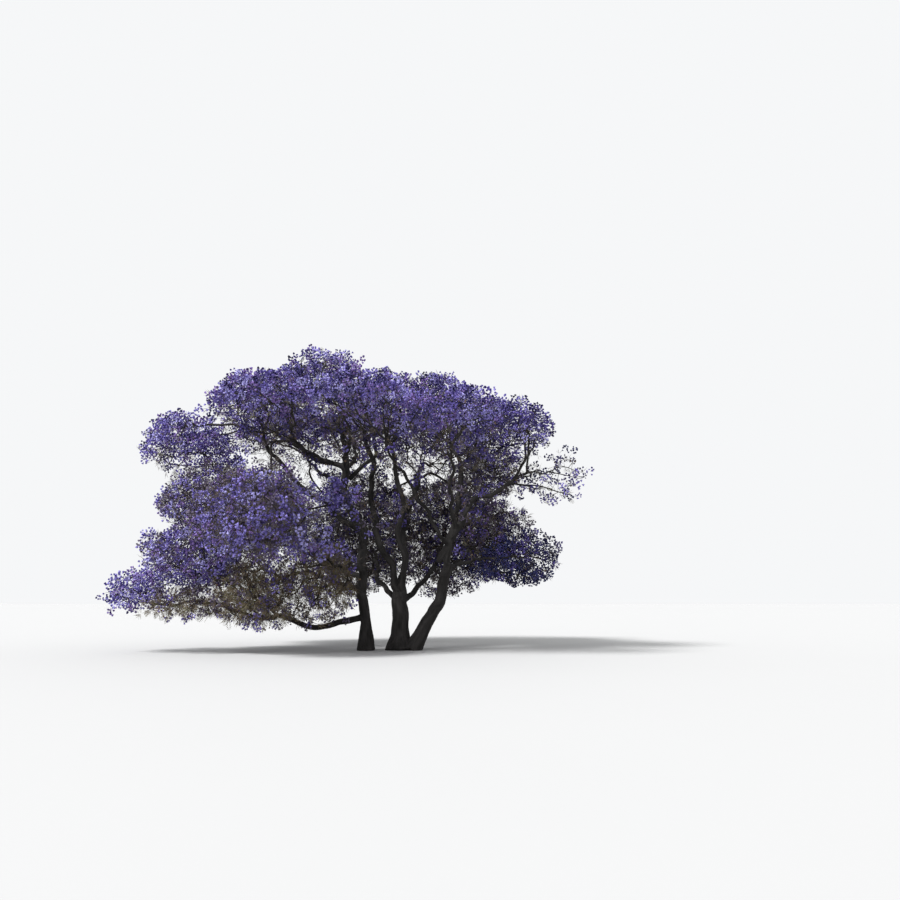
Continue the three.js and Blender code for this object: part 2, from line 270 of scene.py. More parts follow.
@dataclass(frozen=True)
class Finish:
    """A rough, matt finish whose colour is mottled in patches.

    Attributes:
        name: the material's name.
        color: base colour, linear.
        roughness: of the surface.
        patch_scale: patches per metre.
        patch_depth: how far the colour swings.
        grain: name of a vector attribute to lay the patches along, or nothing for object coordinates.
        bump: height of the relief that is only shaded, in metres.
    """

    name: str
    color: tuple[float, float, float]
    roughness: float = 0.8
    patch_scale: float = 1.2
    patch_depth: float = 0.5
    grain: str | None = None
    bump: float = 0.0

    def material(self) -> bpy.types.Material:
        """Gives the finish as a material, and makes it the first time.

        Returns:
            The material.
        """
        if self.name in bpy.data.materials:
            return bpy.data.materials[self.name]
        made = bpy.data.materials.new(self.name)
        made.use_nodes = True
        nodes, links = made.node_tree.nodes, made.node_tree.links
        shader = nodes["Principled BSDF"]
        shader.inputs["Roughness"].default_value = self.roughness
        shader.inputs["Specular IOR Level"].default_value = 0.25
        mottle = nodes.new("ShaderNodeGroup")
        mottle.node_tree = Mottle().group()
        mottle.inputs["Color"].default_value = (*self.color, 1.0)
        mottle.inputs["Scale"].default_value = self.patch_scale
        mottle.inputs["Depth"].default_value = self.patch_depth
        if self.grain:
            place = nodes.new("ShaderNodeAttribute")
            place.attribute_name = self.grain
            where = place.outputs["Vector"]
        else:
            place = nodes.new("ShaderNodeTexCoord")
            where = place.outputs["Object"]
        links.new(where, mottle.inputs["Vector"])
        links.new(mottle.outputs["Color"], shader.inputs["Base Color"])
        if self.bump:
            relief = nodes.new("ShaderNodeTexNoise")
            relief.inputs["Scale"].default_value = 3 * self.patch_scale
            relief.inputs["Detail"].default_value = 5.0
            height = nodes.new("ShaderNodeBump")
            height.inputs["Strength"].default_value = 0.8
            height.inputs["Distance"].default_value = self.bump
            links.new(where, relief.inputs["Vector"])
            links.new(relief.outputs["Fac"], height.inputs["Height"])
            links.new(height.outputs["Normal"], shader.inputs["Normal"])
        return made


GRAIN = "grain"
# The bark of the stems, boughs and branchlets is darkened almost to black to paint the shade under the crown;
# the twigs and twiglets keep a lighter bark colour.
BARK_PAINTED_SHADE_FINISH = Finish(
    "fissured_bark_painted_shade", (0.02, 0.0185, 0.018), 0.95, patch_scale=6.0, patch_depth=3.0, grain=GRAIN, bump=0.03
)
BRANCHLET_PAINTED_SHADE_FINISH = Finish("branchlet_bark_painted_shade", (0.02, 0.0175, 0.0165), 0.9, patch_scale=6.0, patch_depth=1.0)
TWIG_FINISH = Finish("twig_bark", (0.036, 0.03, 0.027), 0.85, patch_scale=3.0, patch_depth=0.9)
TWIGLET_FINISH = Finish("twiglet_bark", (0.09, 0.075, 0.066), 0.85, patch_scale=1.5, patch_depth=1.0)
DRY_TWIGLET_FINISH = Finish("dry_twiglet_bark", (0.125, 0.098, 0.066), 0.85, patch_scale=1.5, patch_depth=1.0)
POD_FINISH = Finish("pod_husk", (0.085, 0.055, 0.035), 0.6, patch_scale=4.0, patch_depth=0.6)
LEAF_FINISH = Finish("old_leaf", (0.115, 0.105, 0.055), 0.7, patch_scale=2.0, patch_depth=0.7)
FLOOR_FINISH = Finish("pale_floor", (0.4, 0.4, 0.4), 0.9, patch_scale=0.2, patch_depth=0.01)
# Blossom tints from pale to indigo: the pale tint is painted sunlit blossom and the deep and indigo tints are
# painted shade; the tints between them and the dusky one are mostly the blossom's own tone.
BLOSSOM_FINISHES = {
    Tint.PAINTED_SUNLIT_PALE: Finish("blossom_pale", (0.29, 0.27, 0.55), 0.7),
    Tint.LILAC: Finish("blossom_lilac", (0.185, 0.155, 0.44), 0.7),
    Tint.MAUVE: Finish("blossom_mauve", (0.17, 0.11, 0.32), 0.7),
    Tint.VIOLET: Finish("blossom_violet", (0.088, 0.067, 0.255), 0.7),
    Tint.PAINTED_SHADE_DEEP: Finish("blossom_deep", (0.03, 0.024, 0.1), 0.7),
    Tint.PAINTED_SHADE_INDIGO: Finish("blossom_indigo", (0.02, 0.023, 0.09), 0.7),
    Tint.DUSKY: Finish("blossom_dusky", (0.105, 0.086, 0.135), 0.75),
}


# ---- meshes --------------------------------------------------------------------------------------
class MeshArrays:
    """Gathers many small shapes, as arrays of points and triangles, into one mesh."""

    def __init__(self) -> None:
        """Starts with nothing gathered."""
        self.points: list[np.ndarray] = []
        self.triangles: list[np.ndarray] = []
        self.count = 0

    def add(self, points: np.ndarray, triangles: np.ndarray) -> None:
        """Adds one shape, or many shapes already stacked.

        Args:
            points: the points, one row each.
            triangles: rows of three indices into points.
        """
        self.points.append(points)
        self.triangles.append(triangles + self.count)
        self.count += len(points)

    def faces(self) -> int:
        """Counts the triangles.

        Returns:
            How many triangles are gathered.
        """
        return sum(len(part) for part in self.triangles)

    def to_object(self, name: str, finish: Finish, smooth: bool) -> bpy.types.Object:
        """Makes the mesh and links it as an object.

        Args:
            name: the object's name.
            finish: its finish.
            smooth: whether its faces are shaded smooth.

        Returns:
            The object.
        """
        points = np.concatenate(self.points).astype(np.float32)
        triangles = np.concatenate(self.triangles).astype(np.int32)
        mesh = bpy.data.meshes.new(name)
        mesh.vertices.add(len(points))
        mesh.vertices.foreach_set("co", points.ravel())
        mesh.loops.add(triangles.size)
        mesh.loops.foreach_set("vertex_index", triangles.ravel())
        mesh.polygons.add(len(triangles))
        mesh.polygons.foreach_set("loop_start", np.arange(0, triangles.size, 3, dtype=np.int32))
        mesh.polygons.foreach_set("loop_total", np.full(len(triangles), 3, dtype=np.int32))
        mesh.polygons.foreach_set("use_smooth", np.full(len(triangles), smooth))
        mesh.update(calc_edges=True)
        mesh.materials.append(finish.material())
        return link(name, mesh)


def link(name: str, mesh: bpy.types.Mesh) -> bpy.types.Object:
    """Puts a mesh in the scene as an object at the origin.

    Args:
        name: the object's name.
        mesh: its mesh.

    Returns:
        The object.
    """
    made = bpy.data.objects.new(name, mesh)
    bpy.context.scene.collection.objects.link(made)
    return made


def noise_at(places: np.ndarray) -> np.ndarray:
    """Reads soft noise between -1 and 1.

    Args:
        places: where, one row each.

    Returns:
        The noise at each place.
    """
    return np.array([noise.noise(place) for place in places.tolist()])


def warp(places: np.ndarray) -> np.ndarray:
    """Shifts places to and fro in one soft field, so that what meets before it still meets after it.

    Args:
        places: the places, one row each.

    Returns:
        The shifted places.
    """
    ease = np.clip(places[:, 2:] / 2.0 - 0.2, 0.0, 1.0)
    shift = np.zeros_like(places)
    for pitch, reach in (SLOW_WARP, QUICK_WARP):
        shift += reach * np.array([noise.noise_vector(Vector(place) * pitch) for place in places])
    return places + ease * shift


def unit(vectors: np.ndarray) -> np.ndarray:
    """Scales vectors to length one.

    Args:
        vectors: one row each.

    Returns:
        The unit vectors.
    """
    return vectors / np.maximum(np.linalg.norm(vectors, axis=-1, keepdims=True), 1e-9)


# ---- limbs of the frame --------------------------------------------------------------------------
@dataclass
class LimbLine:
    """The middle line of a stem or bough, from its foot to its tip.

    Attributes:
        name: the CAD node's name.
        points: along the line, one row each.
        radii: the limb's radius at each point.
        flare: how many times wider a stem is at the ground than where its solid's last ring is.
        collar: how many times wider a bough is at its foot.
        rooting: how far a bough's foot goes on into its parent, in its own radii.
    """

    name: str
    points: np.ndarray
    radii: np.ndarray
    flare: float = 1.45
    collar: float = 1.08
    rooting: float = 0.8

    @classmethod
    def from_node(cls, name: str) -> "LimbLine":
        """Reads a limb's line from the rings of its solid, starting from the flat cap at its tip.

        Args:
            name: the CAD node's name.

        Returns:
            The line.
        """
        bm = bmesh.new()
        bm.from_mesh(frame["nodes"][name].data)
        bmesh.ops.remove_doubles(bm, verts=bm.verts, dist=1e-5)
        bm.verts.index_update()
        ring, cap = cls._tip_cap(bm)
        sides = len(ring)
        seen = set(cap)
        middles: list[Vector] = []
        radii: list[float] = []
        while len(ring) == sides:
            middle = sum((v.co for v in ring), Vector()) / sides
            middles.append(middle)
            radii.append(sum((v.co - middle).length for v in ring) / sides)
            ahead = {e.other_vert(v) for v in ring for e in v.link_edges} - seen
            seen |= ahead
            ring = sorted(ahead, key=lambda v: v.index)
        rest = [v.co.copy() for v in bm.verts if v not in seen or v in ring]
        bm.free()
        points = np.array([tuple(p) for p in reversed(middles)])
        line = cls(name, points, np.array(list(reversed(radii))))
        if name.startswith("bough_"):
            line._root(rest)
        elif points[0][2] > 0.01:
            line._stand()
        return line

    @staticmethod
    def _tip_cap(bm: bmesh.types.BMesh) -> tuple[list[bmesh.types.BMVert], list[bmesh.types.BMVert]]:
        """Finds the flat, evenly round cap at the limb's tip.

        Args:
            bm: the limb's mesh.

        Returns:
            The points of its rim, and all its points.
        """
        least = math.inf
        best: tuple[list[bmesh.types.BMVert], list[bmesh.types.BMVert]] = ([], [])
        done: set[bmesh.types.BMFace] = set()
        for start in bm.faces:
            if start in done:
                continue
            patch, waiting = {start}, [start]
            while waiting:
                for edge in waiting.pop().edges:
                    for face in edge.link_faces:
                        if face not in patch and face.normal.dot(start.normal) > 0.99999:
                            patch.add(face)
                            waiting.append(face)
            done |= patch
            corners = sorted({v for face in patch for v in face.verts}, key=lambda v: v.index)
            middle = sum((v.co for v in corners), Vector()) / len(corners)
            rim = [v for v in corners if (v.co - middle).length > 0.02]
            if len(rim) < 7 or len(patch) < 5:
                continue
            reaches = np.array([(v.co - middle).length for v in rim])
            uneven = reaches.std() / reaches.mean()
            if uneven < least:
                least = uneven
                best = (rim, corners)
        return best

    def _stand(self) -> None:
        """Lengthens a stem's line down to the ground, widening as it goes."""
        fall = self.points[0] - self.points[1]
        foot = self.points[0] + fall * (self.points[0][2] / -fall[2])
        self.points = np.vstack([foot, self.points])
        self.radii = np.concatenate([[self.flare * self.radii[0]], self.radii])

    def _root(self, rest: list[Vector]) -> None:
        """Lengthens the line at its foot, into the limb that it grows from.

        Args:
            rest: the corners of the solid's foot.
        """
        back = unit(self.points[0] - self.points[1])
        beyond = max((float(((np.array(p) - self.points[0]) * back).sum()) for p in rest), default=0.0)
        foot = self.points[0] + back * (max(beyond, 0.0) + self.rooting * self.radii[0])
        self.points = np.vstack([foot, self.points])
        self.radii = np.concatenate([[self.radii[0] * self.collar], self.radii])

    def resampled(self, step: float) -> tuple[np.ndarray, np.ndarray, np.ndarray]:
        """Rounds the line off through its points and divides it evenly.

        Args:
            step: the spacing of the new points.

        Returns:
            The points, the radii and the directions along the line.
        """
        smooth, spots = round_off(self.points, 8)
        along = np.concatenate([[0], np.cumsum(np.linalg.norm(np.diff(smooth, axis=0), axis=1))])
        count = max(3, round(along[-1] / step) + 1)
        wanted = np.linspace(0, along[-1], count)
        points = warp(np.stack([np.interp(wanted, along, smooth[:, k]) for k in range(3)], axis=1))
        radii = np.interp(np.interp(wanted, along, spots), np.arange(len(self.radii)), self.radii)
        return points, radii, unit(np.gradient(points, axis=0))


def round_off(points: np.ndarray, parts: int) -> tuple[np.ndarray, np.ndarray]:
    """Runs a smooth curve through points.

    Args:
        points: the points, one row each.
        parts: how many pieces each span is divided into.

    Returns:
        The curve's points, and each one's place counted in spans.
    """
    padded = np.vstack([2 * points[0] - points[1], points, 2 * points[-1] - points[-2]])
    spots = np.arange((len(points) - 1) * parts + 1) / parts
    at = np.minimum(spots.astype(int), len(points) - 2)
    t = (spots - at)[:, None]
    a, b, c, d = (padded[at + k] for k in range(4))
    curve = 0.5 * (2 * b + (c - a) * t + (2 * a - 5 * b + 4 * c - d) * t**2 + (3 * b - a - 3 * c + d) * t**3)
    return curve, spots


# ---- bark ----------------------------------------------------------------------------------------
@dataclass
class BarkSkin:
    """The bark of one stem and all the boughs that grow from it, as one fused skin with relief.

    Attributes:
        name: the piece's name.
        limbs: the limbs that it covers.
        station: spacing of the rings that the limbs are swept from.
        sides: of each ring.
        grid: size of the cells in which the limbs are fused.
        relief: depth of the fissures on a thick limb.
        uneven: how far the thickness wanders, as a share.
        fissure_pitch: fissures per metre round a limb.
        plate_pitch: bark plates per metre.
        lump_pitch: lumps per metre.
        stretch: width of a fissure as a share of its length.
        softening: how many times the fused skin is smoothed.
    """

    name: str
    limbs: list[LimbLine]
    station: float = 0.12
    sides: int = 20
    grid: float = 0.035
    relief: float = 0.016
    uneven: float = 0.09
    fissure_pitch: float = 14.0
    plate_pitch: float = 5.0
    lump_pitch: float = 2.6
    stretch: float = 0.22
    softening: int = 3

    def build(self) -> bpy.types.Object:
        """Sweeps, fuses and carves the bark.

        Returns:
            The piece.
        """
        bm = bmesh.new()
        for limb in self.limbs:
            self._sweep(bm, limb)
        mesh = bpy.data.meshes.new(self.name)
        bm.to_mesh(mesh)
        bm.free()
        rough = link(self.name + "_rough", mesh)
        fuse = rough.modifiers.new("fuse", "REMESH")
        fuse.mode = "VOXEL"
        fuse.voxel_size = self.grid
        skin = bpy.data.meshes.new_from_object(rough.evaluated_get(bpy.context.evaluated_depsgraph_get()))
        bpy.data.objects.remove(rough)
        skin.name = self.name
        self._soften(skin)
        self._carve(skin)
        # The bark's near-black colour paints the shade under the crown.
        skin.materials.clear()
        skin.materials.append(BARK_PAINTED_SHADE_FINISH.material())
        skin.polygons.foreach_set("use_smooth", np.full(len(skin.polygons), True))
        piece = link(self.name, skin)
        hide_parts(*(limb.name for limb in self.limbs))
        return piece

    def _sweep(self, bm: bmesh.types.BMesh, limb: LimbLine) -> None:
        """Sweeps a round section along a limb.

        Args:
            bm: the mesh to add to.
            limb: the limb.
        """
        points, radii, ways = limb.resampled(self.station)
        radii = radii * self._swell(limb, points)
        made = bmesh.ops.create_circle(bm, cap_ends=True, segments=self.sides, radius=1.0)
        ring = made["verts"]
        last = Matrix.Identity(4)
        side = Vector((1, 0, 0)) if abs(ways[0][0]) < 0.7 else Vector((0, 1, 0))
        for i, (point, radius, way) in enumerate(zip(points, radii, ways)):
            along = Vector(way)
            side = (side - along * side.dot(along)).normalized()
            turn = Matrix((side, along.cross(side), along)).transposed().to_4x4()
            place = Matrix.Translation(point) @ turn @ Matrix.Scale(radius, 4)
            if i:
                out = bmesh.ops.extrude_edge_only(bm, edges=self._rim(ring))
                ring = [g for g in out["geom"] if isinstance(g, bmesh.types.BMVert)]
            bmesh.ops.transform(bm, matrix=place @ last.inverted(), verts=ring)
            last = place
        bmesh.ops.edgeloop_fill(bm, edges=self._rim(ring))

    @staticmethod
    def _rim(ring: list[bmesh.types.BMVert]) -> list[bmesh.types.BMEdge]:
        """Lists the edges that join the points of a ring.

        Args:
            ring: the points.

        Returns:
            The edges, always in the same order.
        """
        edges = dict.fromkeys(edge for point in ring for edge in point.link_edges)
        return [edge for edge in edges if edge.verts[0] in ring and edge.verts[1] in ring]

    def _swell(self, limb: LimbLine, points: np.ndarray) -> np.ndarray:
        """Makes a limb a little uneven in thickness.

        Args:
            limb: the limb.
            points: along it.

        Returns:
            A factor for each point's radius.
        """
        shift = Vector((len(limb.name), 0, 0))
        return np.array([1 + self.uneven * noise.noise(Vector(p) * 1.7 + shift) for p in points])

    def _soften(self, mesh: bpy.types.Mesh) -> None:
        """Rounds off the steps that the fusing leaves.

        Args:
            mesh: the fused mesh.
        """
        bm = bmesh.new()
        bm.from_mesh(mesh)
        for _ in range(self.softening):
            bmesh.ops.smooth_vert(
                bm, verts=bm.verts, factor=0.5, use_axis_x=True, use_axis_y=True, use_axis_z=True
            )
        bmesh.ops.triangulate(bm, faces=bm.faces)
        bm.normal_update()
        bm.to_mesh(mesh)
        bm.free()

    def _carve(self, mesh: bpy.types.Mesh) -> None:
        """Cuts long fissures along each limb, and stores where each point lies along the grain.

        Args:
            mesh: the softened mesh.
        """
        stations = [limb.resampled(self.station) for limb in self.limbs]
        points = np.vstack([s[0] for s in stations])
        radii = np.concatenate([s[1] for s in stations])
        ways = np.vstack([s[2] for s in stations])
        starts = 7.0 * np.arange(len(stations))
        along = np.concatenate([np.arange(len(s[0])) * self.station + at for s, at in zip(stations, starts)])
        tree = KDTree(len(points))
        for i, point in enumerate(points):
            tree.insert(point, i)
        tree.balance()
        count = len(mesh.vertices)
        near = np.array([tree.find(vertex.co)[1] for vertex in mesh.vertices])
        spots = np.empty(3 * count, np.float32)
        normals = np.empty(3 * count, np.float32)
        mesh.vertices.foreach_get("co", spots)
        mesh.vertices.foreach_get("normal", normals)
        spots, normals = spots.reshape(-1, 3), normals.reshape(-1, 3)
        off = spots - points[near]
        forth = (off * ways[near]).sum(1)
        around = off - forth[:, None] * ways[near]
        grain = around + self.stretch * (along[near] + forth)[:, None] * UP
        fissures = np.maximum(1 - 2.2 * np.abs(noise_at(grain * self.fissure_pitch)), 0.0)
        plates, lumps = noise_at(grain * self.plate_pitch), noise_at(spots * self.lump_pitch)
        depth = np.minimum(self.relief, 0.07 * radii[near])
        shift = depth * (0.55 * plates - 0.75 * fissures**2 + 0.9 * lumps)
        spots = spots + normals * shift[:, None]
        spots[:, 2] = np.maximum(spots[:, 2], 0.0)
        mesh.vertices.foreach_set("co", spots.astype(np.float32).ravel())
        stored = mesh.attributes.new(GRAIN, "FLOAT_VECTOR", "POINT")
        stored.data.foreach_set("vector", grain.astype(np.float32).ravel())


# ---- growth --------------------------------------------------------------------------------------
@dataclass
class Growth:
    """A tree of nodes that grows greedily from its boughs towards the places that are to be reached.

    Attributes:
        points: place of each node.
        parents: index of the node that each grew from, or -1 for a place on a bough.
        ways: direction in which each node was reached.
        paths: the way back to the bough, as a length.
        masses: index of the mass that each node lies in.
        bases: radius of the bough at a place on it, and nought elsewhere.
        lights: how much light each node gets, from 0 to 1.
    """

    points: np.ndarray = field(default_factory=lambda: np.empty((0, 3)))
    parents: np.ndarray = field(default_factory=lambda: np.empty(0, int))
    ways: np.ndarray = field(default_factory=lambda: np.empty((0, 3)))
    paths: np.ndarray = field(default_factory=lambda: np.empty(0))
    masses: np.ndarray = field(default_factory=lambda: np.empty(0, int))
    bases: np.ndarray = field(default_factory=lambda: np.empty(0))
    lights: np.ndarray = field(default_factory=lambda: np.empty(0))

    def root(self, points: np.ndarray, ways: np.ndarray, paths: np.ndarray, bases: np.ndarray) -> None:
        """Adds places on a bough that limbs may grow from.

        Args:
            points: the places.
            ways: the bough's direction at each.
            paths: a handicap for each, as a length.
            bases: the bough's radius at each.
        """
        count = len(points)
        self.extend(points, np.full(count, -1), ways, paths, np.full(count, -1), bases, np.zeros(count))

    def extend(self, *parts: np.ndarray) -> None:
        """Adds nodes.

        Args:
            *parts: arrays for each attribute, in order.
        """
        names = ("points", "parents", "ways", "paths", "masses", "bases", "lights")
        for name, part in zip(names, parts):
            setattr(self, name, np.concatenate([getattr(self, name), part]))

    def reach(self, goals: np.ndarray, masses: np.ndarray, lights: np.ndarray, balance: float, turn: float,
              longest: float) -> None:
        """Grows to the goals in turn, each from the node from which it is cheapest to reach.

        Args:
            goals: the places to reach.
            masses: index of the mass that each goal lies in.
            lights: how much light each goal gets.
            balance: how far a short way back to the bough counts against a short step.
            turn: how far a sharp turn counts.
            longest: the longest step; a goal that asks for more is left out.
        """
        count = len(goals)
        cheapest = np.full(count, np.inf)
        source = np.full(count, -1)
        waiting = np.ones(count, bool)

        def offer(node: int, point: np.ndarray, way: np.ndarray, path: float) -> None:
            """Offers a node to the goals that still wait.

            Args:
                node: its index.
                point: its place.
                way: the direction in which it was reached.
                path: its way back to the bough.
            """
            step = goals - point
            length = np.sqrt(np.einsum("ij,ij->i", step, step)) + 1e-6
            bend = 1 - np.einsum("ij,j->i", step, way) / length
            cost = length * (1 + turn * bend) + balance * path
            better = waiting & (cost < cheapest)
            cheapest[better] = cost[better]
            source[better] = node

        for i in range(len(self.points)):
            offer(i, self.points[i], self.ways[i], self.paths[i])
        first = len(self.points)
        order: list[int] = []
        ways: list[np.ndarray] = []
        paths: list[float] = []
        parents: list[int] = []
        for _ in range(count):
            goal = int(np.argmin(cheapest))
            parent = int(source[goal])
            near = self.points[parent] if parent < first else goals[order[parent - first]]
            back = self.paths[parent] if parent < first else paths[parent - first]
            step = goals[goal] - near
            length = float(np.linalg.norm(step)) + 1e-6
            waiting[goal] = False
            cheapest[goal] = np.inf
            if length > longest:
                continue
            order.append(goal)
            parents.append(parent)
            ways.append(step / length)
            paths.append(back + length)
            offer(first + len(order) - 1, goals[goal], step / length, back + length)
        nothing = np.zeros(len(order))
        self.extend(goals[order], np.array(parents), np.array(ways), np.array(paths), masses[order], nothing,
                    lights[order])

    def children(self) -> list[list[int]]:
        """Lists what grows from each node.

        Returns:
            A list of nodes for each node.
        """
        made: list[list[int]] = [[] for _ in self.points]
        for i, parent in enumerate(self.parents):
            if parent >= 0:
                made[parent].append(i)
        return made

    def tips_above(self) -> np.ndarray:
        """Counts the twig ends that each node carries. A parent always comes before its children.

        Returns:
            The count at each node.
        """
        counts = np.zeros(len(self.points))
        for i in range(len(self.points) - 1, -1, -1):
            counts[i] = max(counts[i], 1)
            if self.parents[i] >= 0:
                counts[self.parents[i]] += counts[i]
        return counts

    def chains(self, order: np.ndarray) -> list[list[int]]:
        """Splits the tree into limbs that run on to their tips.

        Args:
            order: a weight for each node; the heaviest child carries the limb on.

        Returns:
            The nodes of each limb, starting with the node that it grows from.
        """
        children = self.children()
        made: list[list[int]] = []
        for start, parent in enumerate(self.parents):
            if parent < 0:
                continue
            heaviest = max(children[parent], key=lambda c: order[c])
            if self.parents[parent] < 0 or start != heaviest:
                chain = [int(parent), start]
                while children[chain[-1]]:
                    chain.append(max(children[chain[-1]], key=lambda c: order[c]))
                made.append(chain)
        return made


@dataclass
class Crown:
    """The limbs of the crown, in two generations: branchlets and then twigs.

    Attributes:
        boughs: the boughs that they grow from.
        seed: for the seeded choices.
        wide: spacing of the places that the branchlets reach.
        close: spacing of the places that the twigs reach.
        outside: how far twigs may stray beyond a mass.
        tip_radius: of a twig's end.
        shoots: how many shoots leave each metre of a bough.
        shoot_reach: shortest and longest reach of a shoot.
        shoot_floor: no shoot ends lower than this, and on the low boughs on the left lower_floor.
        lower_floor: see shoot_floor.
        low_bough: the bough whose shoots start close to the stem.
        bare_foot: share of a bough, from its foot, that carries no shoots.
        low_bare_foot: the same for the low bough.
        long_shoot: shoots that reach further than this grow as branchlets, and the others as twigs.
        rooting: spacing of the places on a bough that limbs can grow from.
    """

    boughs: list[LimbLine]
    seed: int = 7
    wide: float = 0.92
    close: float = 0.31
    outside: float = 0.18
    tip_radius: float = 0.0075
    shoots: float = 11.0
    shoot_reach: tuple[float, float] = (0.3, 1.5)
    shoot_floor: float = 2.8
    lower_floor: float = 0.95
    low_bough: str = "bough_left_low"
    bare_foot: float = 0.25
    low_bare_foot: float = 0.08
    long_shoot: float = 0.8
    rooting: float = 0.3
    growth: Growth = field(default_factory=Growth)
    radii: np.ndarray = field(default_factory=lambda: np.empty(0))

    def grow(self) -> None:
        """Grows the branchlets and the twigs, and settles how thick each is."""
        rng = np.random.default_rng(self.seed)
        trees = [self._surface(name) for name in MASSES]
        for bough in self.boughs:
            points, radii, ways = bough.resampled(self.rooting)
            outer = slice(int(self.bare_foot * len(points)), None)
            back = np.arange(len(points))[::-1] * self.rooting
            self.growth.root(points[outer], ways[outer], 0.5 * back[outer], radii[outer])
        shoots, reaches = self._shoot_ends(rng)
        far = reaches > self.long_shoot
        # One line for each generation. The last three numbers are described in Growth.reach.
        for spacing, stray, more, balance, turn, longest in (
            (self.wide, 0.0, shoots[far], 0.45, 0.35, 4.0),
            (self.close, self.outside, shoots[~far], 0.3, 0.3, 0.9),
        ):
            goals, masses, lights = self._places(trees, spacing, stray, rng)
            goals = np.vstack([goals, more])
            masses = np.concatenate([masses, np.full(len(more), -1)])
            lights = np.concatenate([lights, np.full(len(more), 0.3)])
            self.growth.reach(goals, masses, lights, balance, turn, longest)
            if spacing == self.wide:
                self._crook(rng)
        self._thicken()

    def _shoot_ends(self, rng: np.random.Generator) -> tuple[np.ndarray, np.ndarray]:
        """Chooses where the shoots that leave the boughs on their way to the masses end.

        Args:
            rng: the source of chance.

        Returns:
            The ends, and how far each is from its bough.
        """
        ends: list[np.ndarray] = []
        reaches: list[float] = []
        for bough in self.boughs:
            points, _, ways = bough.resampled(1 / self.shoots)
            floor = self.lower_floor if bough.name.startswith("bough_left") else self.shoot_floor
            bare = self.low_bare_foot if bough.name == self.low_bough else self.bare_foot
            for point, way in list(zip(points, ways))[int(bare * len(points)) :]:
                reach = rng.uniform(*self.shoot_reach)
                out = rng.normal(0, 1, 3) * (1, 1, 0.7)
                out = unit(out + (0.5 + 2 * max(0.0, float(-out @ way))) * way + 0.15 * UP)
                if point[2] + reach * out[2] > floor:
                    ends.append(point + reach * out)
                    reaches.append(reach)
        return np.array(ends), np.array(reaches)

    @staticmethod
    def _surface(name: str) -> BVHTree:
        """Makes a mass's surface searchable.

        Args:
            name: the CAD node's name.

        Returns:
            The search tree.
        """
        mesh = frame["nodes"][name].data
        return BVHTree.FromPolygons([v.co for v in mesh.vertices], [p.vertices for p in mesh.polygons])

    def _places(self, trees: list[BVHTree], spacing: float, outside: float,
                rng: np.random.Generator) -> tuple[np.ndarray, np.ndarray, np.ndarray]:
        """Strews places through the masses, closer together near their surface.

        Args:
            trees: each mass's surface.
            spacing: between the places.
            outside: how far they may stray beyond the surface.
            rng: the source of chance.

        Returns:
            The places, the index of the mass that each is in, and how much light each gets.
        """
        places: list[np.ndarray] = []
        owners: list[int] = []
        lights: list[float] = []
        for k, (name, tree) in enumerate(zip(MASSES, trees)):
            low, high = (np.array(c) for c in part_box(name))
            steps = [np.arange(a - outside, b + outside + spacing, spacing) for a, b in zip(low, high)]
            cells = np.stack(np.meshgrid(*steps, indexing="ij"), axis=-1).reshape(-1, 3)
            cells += rng.uniform(-0.5, 0.5, cells.shape) * spacing
            luck = rng.random(len(cells))
            for cell, chance in zip(cells, luck):
                spot, normal, _, away = tree.find_nearest(Vector(cell))
                depth = away if (Vector(cell) - spot).dot(normal) < 0 else -away
                if depth < -2 * outside:
                    continue
                light = self._light(habit_of(k), tree, cell, depth, normal.z)
                if self._takes(habit_of(k), cell, depth, light, outside, chance):
                    places.append(cell)
                    owners.append(k)
                    lights.append(light)
        return np.array(places), np.array(owners), np.array(lights)

    @staticmethod
    def _light(habit: Habit, tree: BVHTree, place: np.ndarray, depth: float, slope: float) -> float:
        """Tells how much light a place gets: little near a mass's underside, and all of it further up.

        Args:
            habit: of the mass.
            tree: the mass's surface.
            place: the place.
            depth: how deep it lies under the surface.
            slope: how far the nearest surface faces upwards.

        Returns:
            The light, from 0 to 1.
        """
        if depth > 0:
            over = tree.ray_cast(Vector(place), Vector((0, 0, 1)))[3] or 0.0
            under = tree.ray_cast(Vector(place), Vector((0, 0, -1)))[3] or 0.0
            share = under / max(over + under, 1e-6)
        else:
            share = 1.0 if slope > -0.1 else 0.0
        patchy = 0.25 * noise.noise(Vector(place) * 0.9 + Vector((60, 0, 9)))
        return float(np.clip((share + patchy - habit.bare) / 0.3 + 0.5, 0.12, 1.0)) if habit.bare else 1.0

    @staticmethod
    def _takes(habit: Habit, place: np.ndarray, depth: float, light: float, outside: float,
               chance: float) -> bool:
        """Decides whether a place is taken.

        Args:
            habit: of the mass.
            place: the place.
            depth: how deep it lies under the mass's surface.
            light: how much light it gets.
            outside: how far twigs may stray.
            chance: a number from 0 to 1.

        Returns:
            Whether a twig is to reach it.
        """
        if place[2] < LOWEST_TWIG:
            return False
        if outside == 0.0:
            return depth > 0.15
        edge = outside * (1.2 * noise.noise(Vector(place) * 0.9) + 0.1)
        if depth < -edge:
            return False
        holes = noise.noise(Vector(place) * 1.1 + Vector((0, 40, 0)))
        fullness = habit.fullness * (1.0 if depth < 0.6 else habit.deep) * (0.35 + 0.65 * light)
        return chance < fullness * min(1.0, 1.35 + 1.9 * holes)

